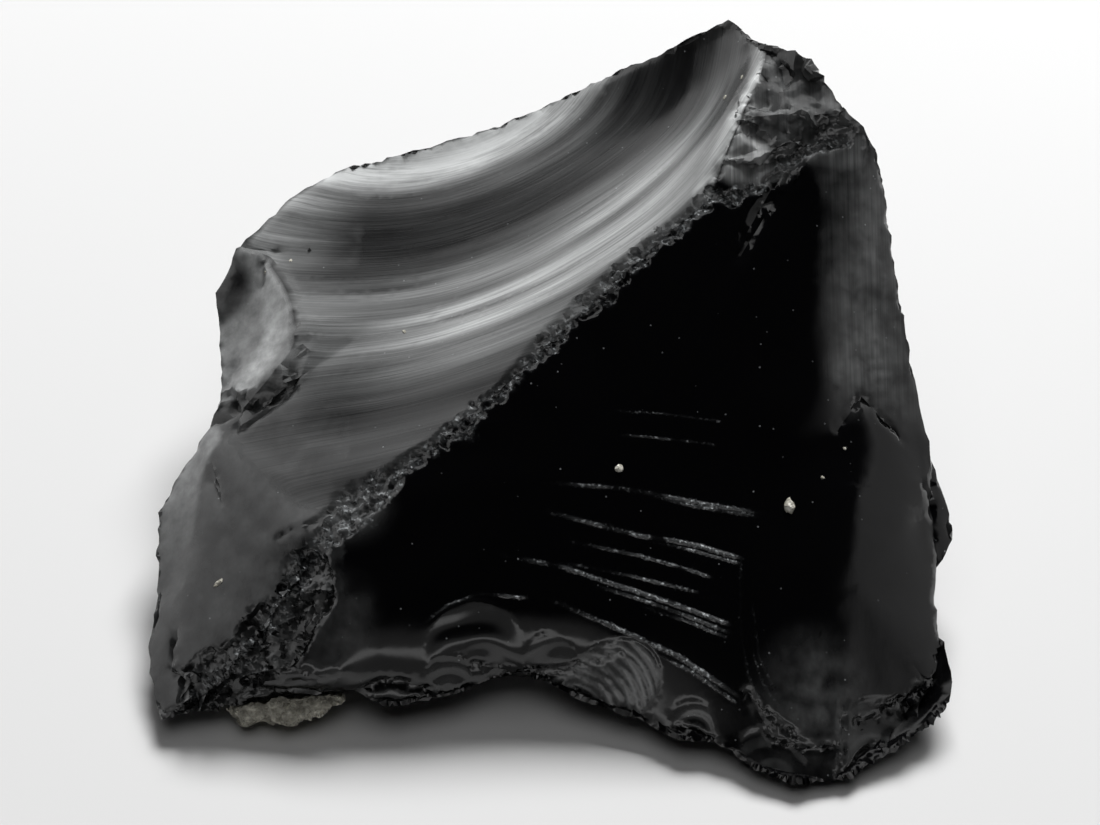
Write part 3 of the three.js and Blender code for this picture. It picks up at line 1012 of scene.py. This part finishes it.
    def _hollow_painted_sheen(self, points: np.ndarray) -> np.ndarray:
        """Painted sheen of the hollow's bands and fine streaks, standing in for the reflections of its
        ripples, above 1 where they are brightest.

        Args:
            points: Points in mm.

        Returns:
            The painted sheen at each point, as if the hollow had no border.
        """
        reach, turn = self._hollow_polar(points)
        left = smooth_step(0.9, 1.5, turn)
        bands = np.interp(
            reach - 4.0 * left * smooth_step(54.0, 60.0, reach),
            (19.0, 24.0, 27.5, 31.0, 38.0, 42.0, 46.0, 50.0, 56.0, 60.0, 64.0, 69.0, 76.0, 84.0),
            (3.30, 2.90, 1.30, 0.35, 0.08, 0.12, 0.60, 1.45, 1.50, 0.60, 0.24, 0.12, 0.16, 0.16),
        )
        ledge = Edge.LEDGE.value + ((31.5, 38.0, 53.0), (33.0, 47.0, 52.5))
        ledge_gap, _ = line_distance(points, ledge)
        fading = np.interp(turn, (0.2, 0.3, 0.5, 0.7, 0.9, 1.5, 1.8), (0.2, 0.3, 0.5, 0.8, 1.0, 1.0, 0.5))
        bands = np.where(reach > 30.0, bands * fading, bands)
        bands = np.maximum(bands, 1.5 * smooth_step(5.0, 1.5, ledge_gap))
        bands += 1.5 * smooth_step(0.9, 1.4, turn) * smooth_step(28.0, 22.0, reach)
        bands += 1.3 * smooth_step(1.9, 2.4, turn) * smooth_step(50.0, 40.0, reach)
        wide_wave = 0.20 * np.sin(2.0 * math.pi * reach / 9.0)
        fine_wave = 0.16 * np.sin(2.0 * math.pi * reach / 5.3)
        bands = bands * (1.0 + wide_wave + fine_wave)
        grain = np.stack([reach / 1.7, turn * 2.0, np.zeros(len(reach))], axis=1)
        return bands * np.clip(1.0 + 0.55 * fractal(grain, 51, 1.0, 2), 0.2, 1.6)

    def _flank_sheen(self, points: np.ndarray, blur: np.ndarray) -> np.ndarray:
        """Painted sheen of the mottled flank to the right of the hollow, standing in for its reflections.

        Args:
            points: Points in mm.
            blur: How far the border wanders at each point, in mm.

        Returns:
            The painted sheen at each point, from 0 to about 1.
        """
        flank = np.interp(points[:, 0] + blur, (39.0, 44.0, 47.0, 50.0, 54.0), (0.0, 0.32, 0.50, 0.30, 0.22))
        flank = flank * np.clip(1.0 + 0.6 * fractal(points, 58, 1.6, 3), 0.2, 1.8)
        return flank * smooth_step(-9.0, 0.0, points[:, 1] + blur) * smooth_step(30.0, 20.0, points[:, 1])

    def _peak_sheen(self, points: np.ndarray) -> np.ndarray:
        """Painted sheen of the facets of the peak, standing in for their reflections.

        Args:
            points: Points in mm.

        Returns:
            The painted sheen at each point, from 0 to 1.
        """
        peak = line_distance(points, ((30.0, 29.0, 48.5), (36.0, 36.0, 51.5), (43.0, 31.0, 50.5)))[0]
        peak = smooth_step(9.5, 7.0, peak) * (points[:, 2] > 45.5)
        peak *= np.interp(points[:, 0], (31.0, 36.0, 40.0, 46.0), (1.0, 0.25, 0.3, 0.6))
        streaked = points * np.array((1.0, 0.4, 0.6))
        return peak * np.clip(0.6 + 0.6 * fractal(streaked, 57, 2.4, 3), 0.0, 1.0)

    def _front_sheens(self, points: np.ndarray) -> list[np.ndarray]:
        """Painted sheen of the bite, the left strip, the crease, the left face and the two feet, standing in
        for their reflections.

        Args:
            points: Points in mm.

        Returns:
            The painted sheen of each of them at each point.
        """
        plan = points[:, :2]
        # painted shade: no painted sheen within 4 mm of the bite's upper corner; painted highlight streak
        # along the lit line
        shadowed = smooth_step(4.0, 7.5, np.linalg.norm(plan - np.array((-53.0, 23.5)), axis=1))
        lit_line = ((-43.0, 26.0), (-42.5, 12.0), (-46.5, 4.0))
        lit_streak = smooth_step(3.0, 1.0, line_distance(points, lit_line)[0])
        bite = inside(points, Edge.BITE.value) * shadowed * (0.75 + 0.9 * lit_streak)
        gap, along = line_distance(points, ((-53.0, -3.0), (-55.5, -8.0), (-56.0, -17.0), (-56.5, -26.0)))
        strip = smooth_step(3.6, 2.4, gap) * np.interp(along, (0.0, 8.0, 20.0), (0.9, 0.8, 0.2))
        crease = 0.22 * smooth_step(7.0, 0.0, line_distance(points, Edge.CREASE.value)[0])
        mottled = np.clip(1.0 + fractal(points, 60, 3.0, 4), 0.0, 2.0)
        left_face = 0.10 * (points[:, 0] < -30.0) * mottled
        right_foot = smooth_step(11.0, 1.0, np.linalg.norm(plan - np.array((37.0, -46.5)), axis=1))
        left_foot = smooth_step(8.0, 1.0, np.linalg.norm(plan - np.array((-31.0, -37.0)), axis=1))
        feet = np.maximum(right_foot, 0.7 * left_foot)
        feet *= 0.22 * np.clip(1.0 + 0.8 * fractal(points, 59, 2.2, 3), 0.0, 2.0)
        return [bite, strip, crease, left_face, feet]

    def _streak_course(self, points: np.ndarray, hollow: np.ndarray, facing: np.ndarray) -> np.ndarray:
        """Where the material looks up its streaks, so that they run along the ripples.

        Args:
            points: Points in mm.
            hollow: How far each point is inside the hollow, from 0 to 1.
            facing: Whether the glass faces up at each point.

        Returns:
            The place in the streak pattern at each point.
        """
        reach, turn = self._hollow_polar(points)
        flow = np.stack([reach * 2.5, turn * 2.6, np.zeros(len(reach))], axis=1)
        combed = (points[:, 0] > 0.0) & (points[:, 1] > -18.0) & facing
        upright = np.stack(
            [
                points[:, 0] * np.where(combed, 1.9, 0.5),
                points[:, 1] * np.where(combed, 0.06, 0.35),
                np.full(len(reach), 40.0),
            ],
            axis=1,
        )
        return np.where((hollow > 0.0)[:, None], flow, upright)

    def _paint(self, mesh: bpy.types.Mesh, skin: Skin, frost_and_glints: np.ndarray, scar_sheen: np.ndarray) -> None:
        """Store what the material reads at each vertex.

        Args:
            mesh: The finished mesh.
            skin: The same mesh as arrays.
            frost_and_glints: How crushed the glass is at each vertex, which also sets where glints are
                painted.
            scar_sheen: Painted sheen of the front and side scars at each vertex.
        """
        points = skin.points
        facing = skin.normals()[:, 2] > 0.2
        hollow = self._hollow_mask(skin, 0.4)
        blur = 1.6 * fractal(points, 55, 6.0, 3)
        flank = facing * self._flank_sheen(points, blur)
        peak = (hollow <= 0.0) * self._peak_sheen(points)
        oval = facing * smooth_step(33.0, 50.0, points[:, 0] + blur)
        oval = oval * smooth_step(-12.0, -30.0, points[:, 1] + blur)
        apron = smooth_step(-35.0, -39.0, points[:, 1])
        dull = np.max([0.8 * oval, 0.7 * (points[:, 0] < -36.0), 0.5 * peak, 0.35 * apron], axis=0)
        sheens = [facing * sheen for sheen in self._front_sheens(points)]
        sheens += [hollow * self._hollow_painted_sheen(points), 0.8 * flank, 0.8 * scar_sheen, 1.3 * peak]
        # painted sheen: the reflections of ripples and facets, stored as the share of pale colour
        for name, values in (
            ("frost_and_glints", frost_and_glints),
            ("satin", np.max([hollow, flank, dull], axis=0)),
            ("painted_sheen", 0.36 * np.max(sheens, axis=0)),
        ):
            layer = mesh.attributes.new(name, "FLOAT", "POINT")
            layer.data.foreach_set("value", values.astype(np.float32))
        flow = self._streak_course(points, hollow, facing)
        layer = mesh.attributes.new("flow", "FLOAT_VECTOR", "POINT")
        layer.data.foreach_set("vector", flow.astype(np.float32).ravel())


@dataclass(frozen=True)
class Flakes:
    """Small flat flake scars, one for each cell of a jumbled lattice.

    Attributes:
        seed: Seed of the jumble.
        size: Size of a flake in mm.
    """

    seed: int
    size: float

    def cut(self, points: np.ndarray) -> np.ndarray:
        """Depth of the flake that each point lies in, from 0 to about 1.

        Args:
            points: Points in mm.

        Returns:
            The depth at each point, which slopes across each flake.
        """
        random = np.random.default_rng(self.seed)
        shift = random.uniform(0.0, 1.0, (16, 16, 16, 3))
        lean = random.normal(0.0, 0.75, (16, 16, 16, 3))
        deep = random.uniform(0.0, 1.0, (16, 16, 16))
        scaled = points / self.size + 200.0
        cell = np.floor(scaled).astype(int)
        best = np.full(len(points), 1e9)
        depth = np.zeros(len(points))
        for step in np.ndindex(3, 3, 3):
            spot = cell + np.array(step) - 1
            key = spot % 16
            index = (key[:, 0], key[:, 1], key[:, 2])
            offset = scaled - spot - shift[index]
            gap = np.einsum("ij,ij->i", offset, offset)
            nearer = gap < best
            best[nearer] = gap[nearer]
            slope = np.einsum("ij,ij->i", offset, lean[index])
            depth[nearer] = (deep[index] + slope)[nearer]
        return np.clip(depth, 0.0, 1.5)


@dataclass(frozen=True)
class Hackles:
    """The hackle lines of the dark face, each with its half width and height in mm."""

    lines: tuple[tuple[Line, float, float], ...] = (
        (((-2.0, -19.5), (9.5, -20.0), (21.0, -21.5), (30.5, -22.5)), 0.30, 0.10),
        (((12.0, -20.6), (20.0, -21.9), (30.0, -22.9)), 0.22, 0.07),
        (((-2.0, -23.0), (12.5, -26.0), (21.0, -27.0), (27.5, -28.5)), 0.34, 0.12),
        (((13.0, -26.6), (20.0, -27.6), (27.0, -29.1)), 0.20, 0.08),
        (((0.0, -26.5), (12.5, -28.5), (23.0, -31.0)), 0.24, 0.08),
        (((1.0, -29.5), (11.0, -31.0), (21.0, -33.0)), 0.22, 0.08),
        (((-9.0, -28.5), (1.0, -30.0), (14.0, -33.5), (26.0, -37.0)), 0.34, 0.12),
        (((5.0, -32.0), (14.0, -34.3), (25.5, -37.9)), 0.24, 0.09),
        (((12.0, -34.6), (19.0, -36.5), (25.0, -38.5)), 0.20, 0.07),
        (((-1.0, -34.0), (8.0, -37.0), (17.5, -40.5), (26.5, -45.5)), 0.32, 0.12),
        (((14.0, -40.0), (20.0, -42.6), (26.0, -46.2)), 0.24, 0.08),
        (((-19.0, -37.5), (-15.0, -35.0), (-10.5, -33.5), (-3.5, -34.0)), 0.22, 0.08),
        (((34.0, -51.0), (30.0, -47.5), (27.6, -43.0), (26.6, -37.0), (26.9, -28.0)), 0.20, 0.015),
        (((35.5, -49.0), (31.5, -45.5), (29.2, -41.0), (28.4, -34.0)), 0.16, 0.01),
        (((36.5, -50.5), (32.5, -48.0), (29.8, -44.5), (28.2, -40.0)), 0.16, 0.01),
        (((6.0, -13.0), (14.0, -13.3), (24.0, -14.0)), 0.16, 0.04),
        (((8.0, -10.0), (16.0, -10.2), (25.0, -11.0)), 0.14, 0.03),
    )

    def gap(self, points: np.ndarray) -> np.ndarray:
        """Distance in plan from each point to the nearest hackle, in mm."""
        return np.min([line_distance(points, line)[0] for line, _, _ in self.lines], axis=0)


# ------------------------------------------------------------------ the crust and the specks
@dataclass
class CrustPatch:
    """The rough mineral stuck under the front-left edge.

    Attributes:
        voxel: Size of the mesh that carries the grains, in mm.
    """

    voxel: float = 0.22
    finish: MineralCrust = MineralCrust()

    def build(self) -> bpy.types.Object:
        """Make the finished piece.

        Returns:
            The piece, which rides on the body and replaces its solid.
        """
        piece = copy_solid("pale_mineral_crust", "crust_grains")
        remesh = piece.modifiers.new("even_mesh", "REMESH")
        remesh.mode = "VOXEL"
        remesh.voxel_size = self.voxel * MM
        bpy.ops.object.modifier_apply(modifier="even_mesh")
        skin = Skin(piece.data)
        skin.relax(6, np.ones(len(skin.points)))
        rough = 0.55 * fractal(skin.points, 61, 2.6, 3) - 0.35 * Flakes(62, 1.1).cut(skin.points)
        lift = smooth_step(0.0, 1.0, skin.points[:, 2])
        skin.push(rough * lift)
        skin.points[:, 2] = np.maximum(skin.points[:, 2], 0.1)
        skin.give_back(piece.data)
        piece.data.materials.clear()
        piece.data.materials.append(self.finish.material())
        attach(piece, "root")
        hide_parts("pale_mineral_crust")
        LOG.info("crust: %d triangles", len(skin.triangles))
        return piece


@dataclass
class PaleSpecks:
    """Pale mineral grains that sit in the glass.

    Attributes:
        spots: Place seen from above, length and width of each grain, in mm.
    """

    spots: tuple[tuple[float, float, float, float], ...] = (
        (34.0, -21.5, 1.6, 2.3), (9.5, -17.5, 1.1, 1.2), (39.0, -17.5, 0.6, 0.5), (42.5, -13.0, 0.5, 0.5),
        (-22.5, 8.5, 0.7, 0.5), (-41.0, 26.5, 0.7, 0.5), (-48.5, -29.0, 0.9, 1.6), (26.5, 40.5, 1.2, 0.6),
        (29.0, 42.0, 1.0, 0.6), (-45.0, 25.0, 0.5, 0.5),
    )
    finish: MineralCrust = MineralCrust(pale="#f1efe6", dull="#8d8a80")

    def build(self, glass: bpy.types.Object) -> bpy.types.Object:
        """Make the grains as one piece.

        Args:
            glass: The finished obsidian, on which the grains sit.

        Returns:
            The piece, which rides on the body.
        """
        tree = BVHTree.FromPolygons(
            [v.co[:] for v in glass.data.vertices], [p.vertices[:] for p in glass.data.polygons]
        )
        grains: list[bpy.types.Object] = []
        for number, (x, y, long, wide) in enumerate(self.spots):
            hit, normal, _, _ = tree.ray_cast(Vector((x, y, 90.0)) * MM, Vector((0.0, 0.0, -1.0)))
            bpy.ops.mesh.primitive_ico_sphere_add(subdivisions=3, radius=0.5, location=(0.0, 0.0, 0.0))
            grain = bpy.context.active_object
            skin = Skin(grain.data)
            skin.points = skin.points * MM
            shape = 1.0 + 0.28 * fractal(skin.points + 3.1 * number, 70 + number, 0.5, 3)
            skin.points = skin.points * shape[:, None] * np.array((long, wide, 0.45 * min(long, wide)))
            turn = normal.to_track_quat("Z", "Y").to_matrix()
            skin.points = skin.points @ np.array(turn).T + np.array(hit) / MM
            skin.give_back(grain.data)
            grains.append(grain)
        bpy.ops.object.select_all(action="DESELECT")
        for grain in grains:
            grain.select_set(True)
        bpy.context.view_layer.objects.active = grains[0]
        bpy.ops.object.join()
        piece = bpy.context.active_object
        piece.name = "pale_specks"
        piece.data.materials.clear()
        piece.data.materials.append(self.finish.material())
        bpy.ops.object.shade_smooth()
        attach(piece, "root")
        LOG.info("specks: %d grains", len(self.spots))
        return piece


# ------------------------------------------------------------------ floor, light and camera
def toward(azimuth: float, height: float) -> Vector:
    """Unit vector at an azimuth and an elevation in degrees, 0 behind the object (+Y), positive right."""
    a, e = math.radians(azimuth), math.radians(height)
    return Vector((math.sin(a) * math.cos(e), math.cos(a) * math.cos(e), math.sin(e)))


@dataclass
class Studio:
    """A plain pale floor under soft light, with a dark ceiling and pale walls, and the camera.

    Attributes:
        target: Point that the camera looks at, in mm.
        distance: Distance of the camera from it, in mm.
        elevation: Height of the camera above the horizon, in degrees.
        lens: Focal length in mm.
        window_middle: Azimuth and elevation of the window's middle in degrees, 0 behind the object.
        window_top: The same for its top.
        window_foot: The same for its foot.
        window_half: Half its width and half its height, in degrees.
        window_power: Brightness of the window, where a white wall is 1.
    """

    target: tuple[float, float, float] = (-0.5, -5.0, 24.0)
    distance: float = 385.0
    elevation: float = 45.0
    lens: float = 85.0
    window_middle: tuple[float, float] = (-47.0, 34.0)
    window_top: tuple[float, float] = (-41.0, 50.0)
    window_foot: tuple[float, float] = (-58.0, 12.0)
    window_half: tuple[float, float] = (11.0, 22.0)
    window_power: float = 0.15

    def build(self) -> None:
        """Set up the floor, the lights, the world and the camera."""
        self._floor()
        self._lights()
        self._world()
        self._camera()
        bpy.context.scene.view_settings.view_transform = "Standard"

    def _floor(self) -> None:
        """Lay the pale floor."""
        bpy.ops.mesh.primitive_plane_add(size=3.0, location=(0.0, 0.0, 0.0))
        floor = bpy.context.active_object
        floor.name = "floor"
        floor.data.materials.append(FloorPaper().material())

    def _softbox(self, name: str, azimuth: float, height: float, away: float,
                 size: tuple[float, float], power: float) -> bpy.types.Object:
        """Hang one rectangular light that faces the object.

        Args:
            name: Name of the light.
            azimuth: Direction from the object in degrees, 0 behind it (+Y), positive to the right.
            height: Elevation of the light in degrees.
            away: Distance from the object in metres.
            size: Width and height in metres.
            power: Power in watts.

        Returns:
            The light.
        """
        data = bpy.data.lights.new(name, "AREA")
        data.shape = "RECTANGLE"
        data.size, data.size_y = size
        data.energy = power
        light = bpy.data.objects.new(name, data)
        bpy.context.scene.collection.objects.link(light)
        spot = toward(azimuth, height) * away
        light.location = spot
        light.rotation_euler = (-spot).to_track_quat("-Z", "Y").to_euler()
        light.visible_camera = False
        return light

    def _lights(self) -> None:
        """Place the key softbox behind the object and the weak fill over it."""
        for light in (
            self._softbox("key_softbox", 14.0, 43.0, 1.6, (0.9, 0.55), 43.0),
            self._softbox("fill_softbox", 0.0, 88.0, 1.8, (1.8, 1.8), 6.0),
        ):
            light.visible_glossy = False

    def _world(self) -> None:
        """Pale walls that end below a dark ceiling, dimmer on the camera's side."""
        world = bpy.data.worlds.new("studio")
        bpy.context.scene.world = world
        world.use_nodes = True
        world.cycles_visibility.diffuse = False
        tree = world.node_tree
        place = add_node(tree, "ShaderNodeTexCoord")
        parts = add_node(tree, "ShaderNodeSeparateXYZ", inputs={"Vector": place.outputs["Generated"]})
        walls = remap(tree, parts.outputs["Z"], (0.72, 0.86), (1.0, 0.006), soft=True)
        side = remap(tree, parts.outputs["Y"], (-0.7, 0.1), (0.25, 1.0), soft=True)
        right = remap(tree, parts.outputs["X"], (0.3, 0.75), (1.0, 0.45), soft=True)
        strength = calculate(tree, "MULTIPLY", walls, calculate(tree, "MULTIPLY", side, right))
        lit = calculate(tree, "ADD", strength, self._window(tree, place.outputs["Generated"]))
        total = calculate(tree, "ADD", lit, self._strip(tree, parts))
        background = tree.nodes["Background"]
        background.inputs["Color"].default_value = (1.0, 1.0, 1.0, 1.0)
        tree.links.new(total, background.inputs["Strength"])

    def _strip(self, tree: bpy.types.NodeTree, parts: bpy.types.Node) -> bpy.types.NodeSocket:
        """A low band of light on the camera's side, which shows the ripples of the front scars.

        Args:
            tree: The world's node tree.
            parts: Separate XYZ node of the direction that is looked up.

        Returns:
            Strength of the band in that direction.
        """
        foot = remap(tree, parts.outputs["Z"], (0.34, 0.46), soft=True)
        top = remap(tree, parts.outputs["Z"], (0.64, 0.54), soft=True)
        front = remap(tree, parts.outputs["Y"], (-0.35, -0.7), (0.0, 1.3), soft=True)
        return calculate(tree, "MULTIPLY", calculate(tree, "MULTIPLY", foot, top), front)

    def _window(self, tree: bpy.types.NodeTree, direction: bpy.types.NodeSocket) -> bpy.types.NodeSocket:
        """A tall soft window behind the left shoulder, leaning to the left at its foot.

        Args:
            tree: The world's node tree.
            direction: Direction that is looked up.

        Returns:
            Strength of the window in that direction.
        """
        middle = toward(*self.window_middle)
        tall = (toward(*self.window_top) - toward(*self.window_foot)).normalized()
        wide = tall.cross(middle).normalized()
        shares: list[bpy.types.NodeSocket] = []
        for axis, half in ((wide, self.window_half[0]), (tall, self.window_half[1])):
            across = add_node(
                tree, "ShaderNodeVectorMath", {"operation": "DOT_PRODUCT"}, {0: direction, 1: axis}
            ).outputs["Value"]
            offset = calculate(tree, "SUBTRACT", across, axis.dot(middle))
            share = calculate(tree, "DIVIDE", offset, math.sin(math.radians(half)))
            shares.append(calculate(tree, "POWER", share, 2.0))
        far = calculate(tree, "ADD", shares[0], shares[1])
        front = add_node(
            tree, "ShaderNodeVectorMath", {"operation": "DOT_PRODUCT"}, {0: direction, 1: middle}
        ).outputs["Value"]
        facing = calculate(tree, "GREATER_THAN", front, 0.0)
        soft = remap(tree, far, (0.45, 1.4), (self.window_power, 0.0), soft=True)
        return calculate(tree, "MULTIPLY", soft, facing)

    def _camera(self) -> None:
        """Aim the camera at the object."""
        data = bpy.data.cameras.new("camera")
        data.lens = self.lens
        data.sensor_width = 36.0
        data.clip_start = 0.01
        camera = bpy.data.objects.new("camera", data)
        bpy.context.scene.collection.objects.link(camera)
        lift = math.radians(self.elevation)
        back = Vector((0.0, -math.cos(lift), math.sin(lift)))
        camera.location = (Vector(self.target) + back * self.distance) * MM
        camera.rotation_euler = back.to_track_quat("Z", "Y").to_euler()
        bpy.context.scene.camera = camera


def main() -> None:
    """Build every piece in order and report it."""
    logging.basicConfig(level=logging.INFO, format="%(name)s: %(message)s")
    Studio().build()
    glass = ObsidianChunk().build()
    CrustPatch().build()
    PaleSpecks().build(glass)


if __name__ == "__main__":
    main()
